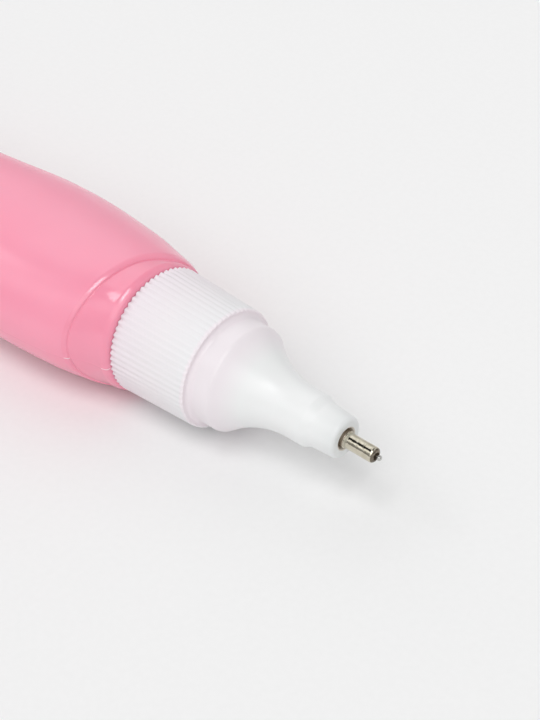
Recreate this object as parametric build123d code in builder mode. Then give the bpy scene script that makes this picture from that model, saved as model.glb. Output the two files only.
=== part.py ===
from build123d import *
import os
from math import cos, radians, sin, sqrt, tau

# Correction pen, lying flat, in millimetres.
# +X runs along the pen to its tip and +Z is up. The origin is the middle of the
# pen's length, on the surface that it lies on.

# Fits shared by every pair of pieces
press_clearance = 0.01  # radial, between pieces that are pressed together
sliding_clearance = 0.05  # radial, between pieces that slide or turn
seat_gap = 0.02  # axial, between faces that are screwed or stacked together
cut_overrun = 1.0  # how far a cutting shape runs past the face that it opens

# Round screw thread between the bottle's neck and the collar
neck_radius = 5.7
neck_wall = 1.3
thread_pitch = 2.5
thread_bead_radius = 0.45
thread_clearance = 0.15
thread_start = 2.4  # from the collar's rear edge to the start of the neck's thread
thread_end_margin = 0.3
thread_flank_offset = 0.92
neck_bore_radius = neck_radius - neck_wall

# Ribbed screw collar
collar_gap = 0.3
collar_length = 10.75
collar_wall = 1.0
collar_taper = 0.48
rib_count = 62
rib_depth = 0.22
web_thickness = 1.3
snap_bead_height = 0.25
collar_bore_radius = neck_radius + thread_bead_radius + thread_clearance
collar_front_radius = collar_bore_radius + collar_wall + rib_depth
collar_rear_radius = collar_front_radius + collar_taper

# Bottle
bottle_length = 75.7
bottle_wall = 0.9
front_wall = 1.3
band_lip = 0.35  # how far the band stands out beyond the collar
band_edge_rounding = 0.35
belly_swell = 3.5
belly_rise = 0.4
belly_distance = 18.7  # from the bottle's front face back to its widest section
tail_radius = 6.9
tail_rounding = 4.0
tail_foot_width = 0.5
tail_dish_depth = 0.4
shoulder_setback = 2.8  # slanted shoulder line, behind the front face on the axis
shoulder_slant = 14.5  # degrees
shoulder_step = 0.2
shoulder_rounding = 0.14
lying_flat_depth = 0.15  # how much of the belly's underside is flattened, so that the pen lies still
band_front_radius = collar_rear_radius + band_lip
belly_half_width = band_front_radius + belly_swell
belly_half_height = collar_rear_radius + belly_rise

# How the belly swells behind the band and shrinks towards the tail, at even steps
front_swell_shares = (0.0, 0.3, 0.62, 0.81, 0.94, 1.0)
rear_width_shares = (0.91, 0.67, 0.46, 0.33, 0.24, 0.15, 0.07, 0.0)
rear_height_shares = (1.0, 1.0, 1.0, 0.97, 0.88, 0.68, 0.36, 0.0)
band_section_count = 4

# Mouth seal
seal_thickness = 1.0
seal_rim_clearance = 0.2

# Nozzle
nozzle_reach = 17.75
shank_step = 0.6
flange_ledge = 0.7  # width of the collar's front face left bare round the flange
flange_length = 2.85
flange_groove = 0.15
flange_rounding = 0.8
bell_length = 4.4
bell_rounding = 10.0
waist_radius = 3.2
waist_length = 6.1
waist_rounding = 0.6
spigot_step = 0.48
spigot_step_length = 1.0
spigot_taper = 0.22
spigot_rounding = 0.5
plug_length = 4.6
plug_wall = 0.95
plug_lead = 0.5
funnel_start = 3.6  # from the collar's front face
tip_recess_gap = 0.18
tip_recess_depth = 0.5
web_hole_radius = neck_bore_radius + shank_step
flange_radius = collar_front_radius - rib_depth - flange_ledge
spigot_radius = waist_radius - spigot_step

# Metal tip ferrule and the needle that shuts it
ferrule_reach = 4.24
ferrule_shank_radius = 1.2
ferrule_shank_length = 7.8
ferrule_lead = 0.2
ferrule_wall = 0.35
base_ring_step = 0.13
base_ring_length = 0.8
base_ring_rounding = 0.12
tube_step = 0.13
tube_wall = 0.32
tube_rim_width = 0.46
tube_rim_rounding = 0.44
mouth_depth = 0.35
throat_clearance = 0.12
throat_length = 1.2
seat_length = 0.4
spring_chamber_length = 4.35
needle_reach = 0.71
needle_pin_radius = 0.33
needle_stem_step = 0.03
needle_land_length = 1.1
needle_seat_gap = 0.04
needle_tail_length = 0.7  # how far the stem reaches into the spring stop
base_ring_radius = ferrule_shank_radius - base_ring_step
tube_radius = base_ring_radius - tube_step
chamber_radius = tube_radius - tube_wall
mouth_radius = tube_radius - tube_rim_width
throat_radius = needle_pin_radius + throat_clearance
needle_stem_radius = needle_pin_radius - needle_stem_step
spring_chamber_radius = ferrule_shank_radius - ferrule_wall
tip_recess_radius = base_ring_radius + tip_recess_gap

# Needle collar, spring and stop
slider_thickness = 0.7
stop_thickness = 1.2
stop_hole_clearance = 0.12
flow_notch_count = 3
flow_notch_radius = 0.2
spring_wire_radius = 0.09
spring_quarters = 20

# Mixing ball
ball_radius = 2.3
ball_gap = 0.3
ball_distance = 21.0  # behind the bottle's front face

# Places along the pen's axis
overall_length = bottle_length + collar_gap + collar_length + nozzle_reach + ferrule_reach + needle_reach
tail_x = -overall_length / 2
band_x = tail_x + bottle_length
belly_x = band_x - belly_distance
tail_round_x = tail_x + tail_rounding
collar_rear_x = band_x + collar_gap
collar_front_x = collar_rear_x + collar_length
web_x = collar_front_x - web_thickness
seal_x = web_x - seat_gap - seal_thickness
mouth_x = seal_x - seat_gap
snap_x = web_x + web_thickness / 2
thread_x = collar_rear_x + thread_start
thread_room = mouth_x - thread_x - thread_bead_radius - thread_end_margin
neck_thread_quarters = int(4 * thread_room / thread_pitch)
collar_thread_quarters = neck_thread_quarters - 1
nozzle_end_x = collar_front_x + nozzle_reach
ferrule_end_x = nozzle_end_x + ferrule_reach
needle_tip_x = ferrule_end_x + needle_reach
axis_height = belly_half_height - lying_flat_depth

pen_axis = Axis((0, 0, axis_height), (1, 0, 0))
side_view = Plane(origin=(0, 0, axis_height), x_dir=(1, 0, 0), z_dir=(0, -1, 0))


def cross_section(x):
    """The plane square to the pen's axis at x: local x runs across the pen, local y up."""
    return Plane(origin=(x, 0, axis_height), x_dir=(0, 1, 0), z_dir=(1, 0, 0))


def helix_point(radius, pitch, start_x, quarter):
    """A point and the direction of a right-hand helix about the pen's axis, by quarter turns."""
    angle = tau * quarter / 4
    rise = pitch / tau
    point = Vector(start_x + rise * angle, radius * cos(angle), axis_height + radius * sin(angle))
    direction = Vector(rise, -radius * sin(angle), radius * cos(angle)).normalized()
    return point, direction


def helix_wire(radius, pitch, start_x, quarters):
    """A helix made of two tangent arcs for each quarter turn."""
    with BuildLine() as winding:
        for quarter in range(quarters):
            start, leaving = helix_point(radius, pitch, start_x, quarter)
            end, arriving = helix_point(radius, pitch, start_x, quarter + 1)
            chord = end - start
            along = chord.dot(leaving + arriving)
            spread = 2 * (1 - leaving.dot(arriving))
            reach = (sqrt(along**2 + spread * chord.dot(chord)) - along) / spread
            joint = (start + end + (leaving - arriving) * reach) / 2
            first = TangentArc(start, joint, tangent=leaving)
            TangentArc(joint, end, tangent=first % 1)
    return winding.wire()


# Oval sections of the belly, as place, half width and half height
belly_sections = []
band_half_width = band_front_radius + shoulder_step
for step, swell in enumerate(front_swell_shares):
    x = band_x - belly_distance * step / (len(front_swell_shares) - 1)
    half_width = band_half_width + swell * (belly_half_width - band_half_width)
    belly_sections.append((x, half_width, belly_half_height))
for step, (width, height) in enumerate(zip(rear_width_shares, rear_height_shares), start=1):
    x = belly_x + (tail_round_x - belly_x) * step / len(rear_width_shares)
    half_width = tail_radius + width * (belly_half_width - tail_radius)
    half_height = tail_radius + height * (belly_half_height - tail_radius)
    belly_sections.append((x, half_width, half_height))

# Fluid space: the belly's sections drawn in by the wall
with BuildPart() as fluid_space:
    front_half_height = belly_half_height - shoulder_step
    with BuildSketch(cross_section(band_x - front_wall)):
        Ellipse(band_front_radius - bottle_wall, front_half_height - bottle_wall)
    for x, half_width, half_height in belly_sections[1:]:
        with BuildSketch(cross_section(x)):
            Ellipse(half_width - bottle_wall, half_height - bottle_wall)
    loft()
    with BuildSketch(side_view):
        with BuildLine():
            inner_flat_radius = tail_radius - tail_rounding
            inner_end = Line((tail_x + bottle_wall, 0), (tail_x + bottle_wall, inner_flat_radius))
            inner_round = TangentArc(inner_end @ 1, (tail_round_x, tail_radius - bottle_wall), tangent=(0, 1))
            Polyline(inner_round @ 1, (tail_round_x, 0), inner_end @ 0)
        make_face()
    revolve(axis=pen_axis)

# Bottle: belly behind the slanted shoulder line, band and threaded neck in front of it
shoulder_plane = Plane(
    origin=(band_x - shoulder_setback, 0, axis_height),
    x_dir=(0, 0, 1),
    z_dir=(cos(radians(shoulder_slant)), -sin(radians(shoulder_slant)), 0),
)
with BuildPart() as bottle:
    for x, half_width, half_height in belly_sections:
        with BuildSketch(cross_section(x)):
            Ellipse(half_width, half_height)
    loft()
    with BuildSketch(side_view):
        with BuildLine():
            flat_end = Line((tail_x, 0), (tail_x, tail_radius - tail_rounding))
            round_edge = TangentArc(flat_end @ 1, (tail_round_x, tail_radius), tangent=(0, 1))
            Polyline(round_edge @ 1, (tail_round_x, 0), flat_end @ 0)
        make_face()
    revolve(axis=pen_axis)
    split(bisect_by=shoulder_plane, keep=Keep.BOTTOM)
    fillet(bottle.faces().sort_by(Axis.X)[-1].edges(), radius=shoulder_rounding)
    for x, half_width, half_height in belly_sections[:band_section_count]:
        with BuildSketch(cross_section(x)):
            Ellipse(half_width - shoulder_step, half_height - shoulder_step)
    loft()
    fillet(bottle.faces().sort_by(Axis.X)[-1].edges(), radius=band_edge_rounding)
    split(bisect_by=Plane.XY, keep=Keep.TOP)
    with BuildSketch(cross_section(band_x - front_wall)):
        Circle(neck_radius)
    extrude(amount=mouth_x - band_x + front_wall)
    neck_thread = helix_wire(neck_radius, thread_pitch, thread_x, neck_thread_quarters)
    with BuildSketch(Plane(origin=neck_thread @ 0, z_dir=neck_thread % 0)):
        Circle(thread_bead_radius)
    sweep(path=neck_thread)
    add(fluid_space.part, mode=Mode.SUBTRACT)
    with BuildSketch(cross_section(mouth_x)):
        Circle(neck_bore_radius)
    extrude(amount=band_x - front_wall - mouth_x, mode=Mode.SUBTRACT)
    with BuildSketch(cross_section(tail_x)):
        Circle(tail_radius - tail_rounding - tail_foot_width)
    extrude(amount=tail_dish_depth, mode=Mode.SUBTRACT)

# Ribbed collar: scalloped cone, bored from behind, with an inner thread and a front web
with BuildPart() as ribbed_collar:
    for x, crest_radius in ((collar_rear_x, collar_rear_radius), (collar_front_x, collar_front_radius)):
        valley_radius = crest_radius - rib_depth
        with BuildSketch(cross_section(x)):
            with BuildLine():
                for rib in range(rib_count):
                    angles = [tau * (rib + part_share) / rib_count for part_share in (0.0, 0.5, 1.0)]
                    radii = (valley_radius, crest_radius, valley_radius)
                    ThreePointArc(*[(r * cos(a), r * sin(a)) for r, a in zip(radii, angles)])
            make_face()
    loft(ruled=True)
    with BuildSketch(cross_section(collar_rear_x)):
        Circle(collar_bore_radius)
    extrude(amount=collar_length - web_thickness, mode=Mode.SUBTRACT)
    collar_thread_x = thread_x - thread_flank_offset
    collar_thread = helix_wire(collar_bore_radius, thread_pitch, collar_thread_x, collar_thread_quarters)
    with BuildSketch(Plane(origin=collar_thread @ 0, z_dir=collar_thread % 0)):
        Circle(thread_bead_radius)
    sweep(path=collar_thread)
    with BuildSketch(cross_section(web_x)):
        Circle(web_hole_radius)
    extrude(amount=web_thickness, mode=Mode.SUBTRACT)
    with BuildSketch(side_view):
        with BuildLine():
            Polyline(
                (snap_x - snap_bead_height - press_clearance, web_hole_radius),
                (snap_x, web_hole_radius + snap_bead_height + press_clearance),
                (snap_x + snap_bead_height + press_clearance, web_hole_radius),
                close=True,
            )
        make_face()
    revolve(axis=pen_axis, mode=Mode.SUBTRACT)

# Nozzle: plug, snap shank, flange, bell, waist and spigot, bored for the fluid and the ferrule
plug_radius = neck_bore_radius - sliding_clearance
plug_end_x = web_x - plug_length
shank_radius = web_hole_radius - press_clearance
flange_x = collar_front_x + seat_gap
waist_x = collar_front_x + flange_length + bell_length
spigot_step_x = waist_x + waist_length
tip_recess_x = nozzle_end_x - tip_recess_depth
ferrule_rear_x = tip_recess_x - ferrule_shank_length
tip_bore_radius = ferrule_shank_radius + press_clearance
with BuildPart() as nozzle:
    with BuildSketch(side_view):
        with BuildLine():
            outline = FilletPolyline(
                (plug_end_x, 0),
                (plug_end_x, plug_radius - plug_lead),
                (plug_end_x + plug_lead, plug_radius),
                (web_x, plug_radius),
                (web_x, shank_radius),
                (snap_x - snap_bead_height, shank_radius),
                (snap_x, shank_radius + snap_bead_height),
                (snap_x + snap_bead_height, shank_radius),
                (flange_x, shank_radius),
                (flange_x, flange_radius - flange_groove),
                (flange_x + flange_groove, flange_radius),
                (collar_front_x + flange_length, flange_radius),
                (waist_x, waist_radius),
                (spigot_step_x, waist_radius),
                (spigot_step_x + spigot_step_length, spigot_radius),
                (nozzle_end_x, spigot_radius - spigot_taper),
                (nozzle_end_x, 0),
                radius=(0, 0, 0, 0, 0, 0, 0, 0, 0, 0, flange_rounding, bell_rounding)
                + (waist_rounding, waist_rounding, spigot_rounding),
            )
            Line(outline @ 1, outline @ 0)
        make_face()
    revolve(axis=pen_axis)
    with BuildSketch(side_view):
        with BuildLine():
            Polyline(
                (plug_end_x - cut_overrun, 0),
                (plug_end_x - cut_overrun, plug_radius - plug_wall),
                (collar_front_x + funnel_start, plug_radius - plug_wall),
                (ferrule_rear_x, tip_bore_radius),
                (tip_recess_x, tip_bore_radius),
                (tip_recess_x, tip_recess_radius),
                (nozzle_end_x + cut_overrun, tip_recess_radius),
                (nozzle_end_x + cut_overrun, 0),
                close=True,
            )
        make_face()
    revolve(axis=pen_axis, mode=Mode.SUBTRACT)

# Mouth seal: flat washer round the nozzle's plug
with BuildPart() as mouth_seal:
    with BuildSketch(cross_section(seal_x)):
        Circle(collar_bore_radius - seal_rim_clearance)
        Circle(plug_radius + sliding_clearance, mode=Mode.SUBTRACT)
    extrude(amount=seal_thickness)

# Tip ferrule: pressed shank, base ring and writing tube, bored for the valve
seat_front_x = ferrule_end_x - mouth_depth - throat_length
seat_rear_x = seat_front_x - seat_length
spring_chamber_x = ferrule_rear_x + spring_chamber_length
with BuildPart() as tip_ferrule:
    with BuildSketch(side_view):
        with BuildLine():
            outline = FilletPolyline(
                (ferrule_rear_x, 0),
                (ferrule_rear_x, ferrule_shank_radius - ferrule_lead),
                (ferrule_rear_x + ferrule_lead, ferrule_shank_radius),
                (tip_recess_x, ferrule_shank_radius),
                (tip_recess_x, base_ring_radius),
                (tip_recess_x + base_ring_length, base_ring_radius),
                (tip_recess_x + base_ring_length, tube_radius),
                (ferrule_end_x, tube_radius),
                (ferrule_end_x, 0),
                radius=(0, 0, 0, 0, base_ring_rounding, 0, tube_rim_rounding),
            )
            Line(outline @ 1, outline @ 0)
        make_face()
    revolve(axis=pen_axis)
    with BuildSketch(side_view):
        with BuildLine():
            Polyline(
                (ferrule_rear_x - cut_overrun, 0),
                (ferrule_rear_x - cut_overrun, spring_chamber_radius),
                (spring_chamber_x, spring_chamber_radius),
                (spring_chamber_x, chamber_radius),
                (seat_rear_x, chamber_radius),
                (seat_front_x, throat_radius),
                (ferrule_end_x - mouth_depth, throat_radius),
                (ferrule_end_x - mouth_depth, mouth_radius),
                (ferrule_end_x + cut_overrun, mouth_radius),
                (ferrule_end_x + cut_overrun, 0),
                close=True,
            )
        make_face()
    revolve(axis=pen_axis, mode=Mode.SUBTRACT)

# Valve needle: round-ended pin, cone that shuts on the seat, guide land and stem
land_radius = chamber_radius - sliding_clearance
seat_slope = (chamber_radius - throat_radius) / seat_length
cone_rear_x = seat_rear_x - needle_seat_gap + sliding_clearance / seat_slope
cone_front_x = cone_rear_x + (land_radius - needle_pin_radius) / seat_slope
stop_end_x = ferrule_rear_x + stop_thickness
needle_tail_x = stop_end_x - needle_tail_length
with BuildPart() as valve_needle:
    with BuildSketch(side_view):
        with BuildLine():
            shaft = Polyline(
                (needle_tail_x, 0),
                (needle_tail_x, needle_stem_radius),
                (cone_rear_x - needle_land_length, needle_stem_radius),
                (cone_rear_x - needle_land_length, land_radius),
                (cone_rear_x, land_radius),
                (cone_front_x, needle_pin_radius),
                (needle_tip_x - needle_pin_radius, needle_pin_radius),
            )
            round_end = TangentArc(shaft @ 1, (needle_tip_x, 0), tangent=(1, 0))
            Line(round_end @ 1, shaft @ 0)
        make_face()
    revolve(axis=pen_axis)

# Needle collar: ring pressed on the stem, the spring's front seat
slider_front_x = spring_chamber_x - needle_seat_gap
slider_rear_x = slider_front_x - slider_thickness
with BuildPart() as needle_collar:
    with BuildSketch(cross_section(slider_rear_x)):
        Circle(spring_chamber_radius - sliding_clearance)
        Circle(needle_stem_radius + press_clearance, mode=Mode.SUBTRACT)
    extrude(amount=slider_thickness)

# Spring stop: bush pressed into the ferrule, notched to let the fluid by
with BuildPart() as spring_stop:
    stop_radius = spring_chamber_radius - press_clearance
    with BuildSketch(cross_section(ferrule_rear_x)):
        Circle(stop_radius)
        Circle(needle_stem_radius + stop_hole_clearance, mode=Mode.SUBTRACT)
        with PolarLocations(stop_radius, flow_notch_count):
            Circle(flow_notch_radius, mode=Mode.SUBTRACT)
    extrude(amount=stop_thickness)

# Valve spring: open coil between the stop and the needle's collar
coil_radius = (needle_stem_radius + spring_chamber_radius) / 2
coil_start_x = stop_end_x + seat_gap + spring_wire_radius
coil_length = slider_rear_x - seat_gap - spring_wire_radius - coil_start_x
coil_pitch = coil_length * 4 / spring_quarters
with BuildPart() as valve_spring:
    coil = helix_wire(coil_radius, coil_pitch, coil_start_x, spring_quarters)
    with BuildSketch(Plane(origin=coil @ 0, z_dir=coil % 0)):
        Circle(spring_wire_radius)
    sweep(path=coil)

# Mixing ball, lying on the belly's floor
belly_floor_z = axis_height - belly_half_height + bottle_wall
with BuildPart() as mixing_ball:
    with Locations((band_x - ball_distance, 0, belly_floor_z + ball_gap + ball_radius)):
        Sphere(ball_radius)

pieces = {
    "bottle": bottle,
    "ribbed_collar": ribbed_collar,
    "nozzle": nozzle,
    "mouth_seal": mouth_seal,
    "tip_ferrule": tip_ferrule,
    "valve_needle": valve_needle,
    "needle_collar": needle_collar,
    "spring_stop": spring_stop,
    "valve_spring": valve_spring,
    "mixing_ball": mixing_ball,
}
os.makedirs("parts", exist_ok=True)
for name, piece in pieces.items():
    piece.part.label = name
    export_step(piece.part, f"parts/{name}.step")
print("overall length", round(overall_length, 2), "spring coil gap", round(coil_pitch - 2 * spring_wire_radius, 3))
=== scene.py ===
# %% [markdown]
# # A squeeze correction pen
# The pen is a soft oval bottle with a ribbed screw collar, a bell-shaped nozzle and a metal tube tip.
# The CAD model holds its sizes and joints, and this script dresses it: finer skins, finishes, light and a camera.
# Everything stays in the CAD model's own frame, so a piece goes where the CAD says.

# %% Load the CAD frame
import math

import bmesh
import bpy
import numpy as np
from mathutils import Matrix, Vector


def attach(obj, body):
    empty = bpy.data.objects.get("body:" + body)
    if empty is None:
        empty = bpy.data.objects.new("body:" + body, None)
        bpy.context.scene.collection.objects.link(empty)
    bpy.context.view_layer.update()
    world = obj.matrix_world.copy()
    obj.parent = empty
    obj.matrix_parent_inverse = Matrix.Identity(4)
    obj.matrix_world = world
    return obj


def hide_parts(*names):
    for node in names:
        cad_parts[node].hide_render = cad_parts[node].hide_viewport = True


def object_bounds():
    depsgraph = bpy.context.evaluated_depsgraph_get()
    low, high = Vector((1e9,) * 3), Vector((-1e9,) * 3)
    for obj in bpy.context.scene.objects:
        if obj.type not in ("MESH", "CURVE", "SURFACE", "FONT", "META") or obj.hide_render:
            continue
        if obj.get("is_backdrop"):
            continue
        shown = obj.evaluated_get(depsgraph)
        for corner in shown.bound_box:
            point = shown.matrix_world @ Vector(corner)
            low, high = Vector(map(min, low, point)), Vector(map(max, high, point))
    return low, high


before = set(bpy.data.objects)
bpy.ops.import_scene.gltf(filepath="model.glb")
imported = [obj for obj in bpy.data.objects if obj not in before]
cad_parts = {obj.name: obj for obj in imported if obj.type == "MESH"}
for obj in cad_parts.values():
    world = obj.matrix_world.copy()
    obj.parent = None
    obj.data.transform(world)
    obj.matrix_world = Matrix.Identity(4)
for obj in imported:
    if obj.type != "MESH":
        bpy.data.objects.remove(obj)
cad_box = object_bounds()
MM = 0.001
AXIS_HEIGHT = 8.25  # of the pen's axis above the table, in mm

# %% [markdown]
# The camera comes first, because every later choice is judged through it.
# It looks down at the tip from about forty degrees, with a long lens that keeps the pen's taper honest.
# Its place was found by fitting the collar's rims and the nozzle's outline.

# %% Camera
CAMERA_PLACE = Vector((140.975, -114.47, 140.31))  # in mm
CAMERA_AIM = Vector((-0.5137, 0.5743, -0.6374))
scene = bpy.context.scene
scene.view_settings.view_transform = "Standard"
camera_data = bpy.data.cameras.new("camera")
camera_data.lens = 90
camera_data.sensor_width = 36
camera_data.clip_start = 0.01
camera = bpy.data.objects.new("camera", camera_data)
camera.location = CAMERA_PLACE * MM
camera.rotation_mode = "QUATERNION"
camera.rotation_quaternion = CAMERA_AIM.to_track_quat("-Z", "Y")
scene.collection.objects.link(camera)
scene.camera = camera
print("camera at", [round(v, 4) for v in camera.location])

# %% [markdown]
# Every skin here is a grid: rows of points that run round the pen's axis, joined by quads.
# A lathe in the Screw modifier could turn the round pieces, but the bottle is oval and the collar is ribbed.
# One grid builder serves them all, and its quads follow the form, so the gloss runs clean.

# %% Grid builder
WELD = 1e-7  # metres, under which two points become one


def build_skin(name, grids, body, node):
    """Makes one mesh of several grids of points in mm and sets it in place of a CAD node.

    A grid is (points, joined, finish). Its points go by row, column and axis, and its columns are joined
    round the pen. joined is true where the last row meets the first, and the finish is one number, or one
    for each row or quad."""
    mesh_points = []
    faces = []
    finish_index = []
    for points, joined, finish in grids:
        rows, columns = points.shape[:2]
        finishes = np.broadcast_to(finish, (rows, columns))
        start = len(mesh_points)
        mesh_points.extend(map(tuple, (points * MM).reshape(-1, 3)))
        for row in range(rows if joined else rows - 1):
            after = (row + 1) % rows
            for column in range(columns):
                beside = (column + 1) % columns
                corners = ((row, column), (after, column), (after, beside), (row, beside))
                faces.append([start + r * columns + c for r, c in corners])
                finish_index.append(int(finishes[row, column]))
    mesh = bpy.data.meshes.new(name)
    mesh.from_pydata(mesh_points, [], faces)
    mesh.polygons.foreach_set("material_index", finish_index)
    work = bmesh.new()
    work.from_mesh(mesh)
    bmesh.ops.remove_doubles(work, verts=work.verts, dist=WELD)
    bmesh.ops.recalc_face_normals(work, faces=work.faces)
    for face in work.faces:
        face.smooth = True
    work.to_mesh(mesh)
    work.free()
    piece = bpy.data.objects.new(name, mesh)
    scene.collection.objects.link(piece)
    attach(piece, body)
    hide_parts(node)
    print(name, "has", len(mesh.polygons), "faces")
    return piece


# %% [markdown]
# Moulded and turned edges are never sharp, and a small rounding is what catches the light.
# An outline is written as corners with a radius each, as on a drawing, and this turns it into points.
# A close point on each side of an arc keeps its bend from bleeding into the flats when the surface is shaded smooth.

# %% Rounded outlines and turned rings
ARC_STEP, FEWEST_ARC_POINTS = 5, 4  # degrees between the points of an arc, and how many it has at least
SUPPORT = 0.05  # mm from an arc to the point beside it, or less by a small arc


def rounded(corners, closed):
    """Points of an outline given as (x, r, radius) corners, in mm."""
    points = []
    count = len(corners)
    for index, (x, r, radius) in enumerate(corners):
        corner = np.array((x, r))
        inner = closed or 0 < index < count - 1
        if not radius or not inner:
            points.append(corner)
            continue
        before = np.array(corners[index - 1][:2]) - corner
        after = np.array(corners[(index + 1) % count][:2]) - corner
        before_length, after_length = np.linalg.norm(before), np.linalg.norm(after)
        before, after = before / before_length, after / after_length
        half = math.acos(np.clip(before @ after, -1, 1)) / 2
        run = radius / math.tan(half)
        middle = corner + (before + after) / np.linalg.norm(before + after) * radius / math.sin(half)
        support = min(SUPPORT, radius / 4)
        points.append(corner + before * min(run + support, before_length))
        first, last = corner + before * run - middle, corner + after * run - middle
        sweep = math.pi - 2 * half
        arc_points = max(FEWEST_ARC_POINTS, round(math.degrees(sweep) / ARC_STEP))
        for share in np.linspace(0, 1, arc_points):
            a, b = math.sin((1 - share) * sweep), math.sin(share * sweep)
            points.append(middle + (first * a + last * b) / math.sin(sweep))
        points.append(corner + after * min(run + support, after_length))
    return np.array(points)


def turned(outline, columns, closed, finish=0):
    """A grid of an outline turned round the pen's axis."""
    angle = np.linspace(0, math.tau, columns, endpoint=False)
    x, r = outline[:, :1], outline[:, 1:]
    points = np.stack((x + 0 * angle, r * np.cos(angle), AXIS_HEIGHT + r * np.sin(angle)), axis=2)
    return points, closed, finish


square = rounded([(0, 0, 0.2), (0, 1, 0.2), (1, 1, 0.2), (1, 0, 0.2)], closed=True)
print("a square with rounded corners has", len(square), "points")

# %% [markdown]
# The bottle is blow-moulded polyethylene: a parison of soft plastic blown against a two-part mould.
# Its belly is oval and swells behind a slanted shoulder line, and a slightly smaller band leads to the collar.
# The sections are ovals at even steps, and a smooth curve through their half widths and half heights fills the rest.

# %% Oval sections of the bottle
TAIL_X, TAIL_ROUND_X, BELLY_X, BAND_X, MOUTH_X = -54.725, -50.725, 2.275, 20.975, 29.685
BELLY_HALF_WIDTH, BELLY_HALF_HEIGHT, TAIL_RADIUS, BAND_HALF_WIDTH = 11.82, 8.39, 6.9, 8.55
# Shares of the way from the tail's size, or from the band's, to the belly's
rear_swell = np.array((0, 0.07, 0.15, 0.24, 0.33, 0.46, 0.67, 0.91, 1))
rear_rise = np.array((0, 0.36, 0.68, 0.88, 0.97, 1, 1, 1, 1))
front_swell = np.array((0.94, 0.81, 0.62, 0.3, 0))
rear_places = np.linspace(TAIL_ROUND_X, BELLY_X, len(rear_swell))
front_places = np.linspace(BELLY_X, BAND_X, len(front_swell) + 1)[1:]
rear_widths = TAIL_RADIUS + rear_swell * (BELLY_HALF_WIDTH - TAIL_RADIUS)
rear_heights = TAIL_RADIUS + rear_rise * (BELLY_HALF_HEIGHT - TAIL_RADIUS)
front_widths = BAND_HALF_WIDTH + front_swell * (BELLY_HALF_WIDTH - BAND_HALF_WIDTH)
front_heights = np.full(len(front_swell), BELLY_HALF_HEIGHT)
section_places = np.concatenate((rear_places, front_places))
section_widths = np.concatenate((rear_widths, front_widths))
section_heights = np.concatenate((rear_heights, front_heights))


def smooth_curve(places, values, x):
    """A smooth value at x, on a curve through values at rising places."""
    slopes = np.gradient(values, places)
    x = np.clip(x, places[0], places[-1])
    i = np.clip(np.searchsorted(places, x) - 1, 0, len(places) - 2)
    run = places[i + 1] - places[i]
    t = (x - places[i]) / run
    ends = (2 * t**3 - 3 * t**2 + 1) * values[i] + (3 * t**2 - 2 * t**3) * values[i + 1]
    return ends + run * ((t**3 - 2 * t**2 + t) * slopes[i] + (t**3 - t**2) * slopes[i + 1])


print(len(section_places), "sections, the widest", 2 * BELLY_HALF_WIDTH, "mm across")

# %% [markdown]
# The two mould halves leave a fine raised line down each side, with a little more flash where it crosses an edge.
# A bump map would lose that line at the silhouette, so it is a real ridge.
# Extra columns of the grid are put there to carry it.

# %% Columns round the bottle, and its mould line
EVEN_COLUMNS, CLEAR_OF_LINE = 240, math.radians(3)
LINE_HEIGHT, LINE_SPREAD = 0.02, math.radians(0.7)  # the height in mm
FLASH_HEIGHT, FLASH_SPREAD = 0.1, math.radians(0.5)
mould_angles = np.radians((-7.5, 187.5))  # a little below the middle of each side
half_steps = np.radians((0.15, 0.45, 0.75, 1.1, 1.6, 2.4))
fine_steps = np.concatenate((-half_steps[::-1], half_steps))


def from_mould_line(angles):
    """How far each angle is from the nearer mould line."""
    return np.abs((angles[:, None] - mould_angles + math.pi) % math.tau - math.pi).min(axis=1)


even_angles = np.linspace(0, math.tau, EVEN_COLUMNS, endpoint=False)
even_angles = even_angles[from_mould_line(even_angles) > CLEAR_OF_LINE]
fine_angles = (mould_angles[:, None] + fine_steps).ravel() % math.tau
bottle_angles = np.sort(np.concatenate((even_angles, fine_angles)))
away = from_mould_line(bottle_angles)
mould_line = LINE_HEIGHT * np.exp(-((away / LINE_SPREAD) ** 2))
edge_flash = FLASH_HEIGHT * np.exp(-((away / FLASH_SPREAD) ** 2))
nearness = -np.cos(bottle_angles)  # 1 on the side towards the camera, -1 on the far side


def oval(x, half_width, half_height, ridge=0.0):
    """One row of the bottle: an oval at x, flat where it lies on the table."""
    across = (half_width + ridge) * np.cos(bottle_angles)
    up = np.maximum((half_height + ridge) * np.sin(bottle_angles), -AXIS_HEIGHT)
    return np.stack((x + 0 * bottle_angles, across, AXIS_HEIGHT + up), axis=1)


print(len(bottle_angles), "columns, mould line", round(float(mould_line.max()), 3), "mm high")

# %% [markdown]
# The tail is round, with a small flat foot and a shallow dish in it, where the mould pinched the parison off.
# The belly grows out of it. It isn't a true oval: in front it leans a little to the near side,
# and behind its middle the far upper side is fuller.
# A Lattice could push it so, but a few terms in a formula are easier to follow.

# %% Tail and belly
FOOT_RADIUS, TAIL_ROUND, DISH_DEPTH = 2.9, 4.0, 0.4
LEAN_START, LEAN_RUN, LEAN_ALL_ROUND, LEAN_NEAR = 4, 11, 0.1, 0.15
FULLNESS, FULL_START, FULL_RUN, FULL_TAIL_RUN = 0.25, 8, 12, 20
LINE_FADE, BELLY_ROWS = 6, 46  # the mould line fades out over this length at the tail
dish = [(DISH_DEPTH, 0), (DISH_DEPTH, 1.2), (DISH_DEPTH, 2.3), (0.36, 2.36), (0.3, 2.4), (0.06, 2.42)]
foot = [(0, 2.5), (0, 2.7), (0, FOOT_RADIUS)]
outer_rows = [oval(TAIL_X + x, r, r) for x, r in dish + foot]
for angle in np.radians(np.linspace(6, 84, 14)):
    r = FOOT_RADIUS + TAIL_ROUND * math.sin(angle)
    outer_rows.append(oval(TAIL_ROUND_X - TAIL_ROUND * math.cos(angle), r, r))


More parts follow.
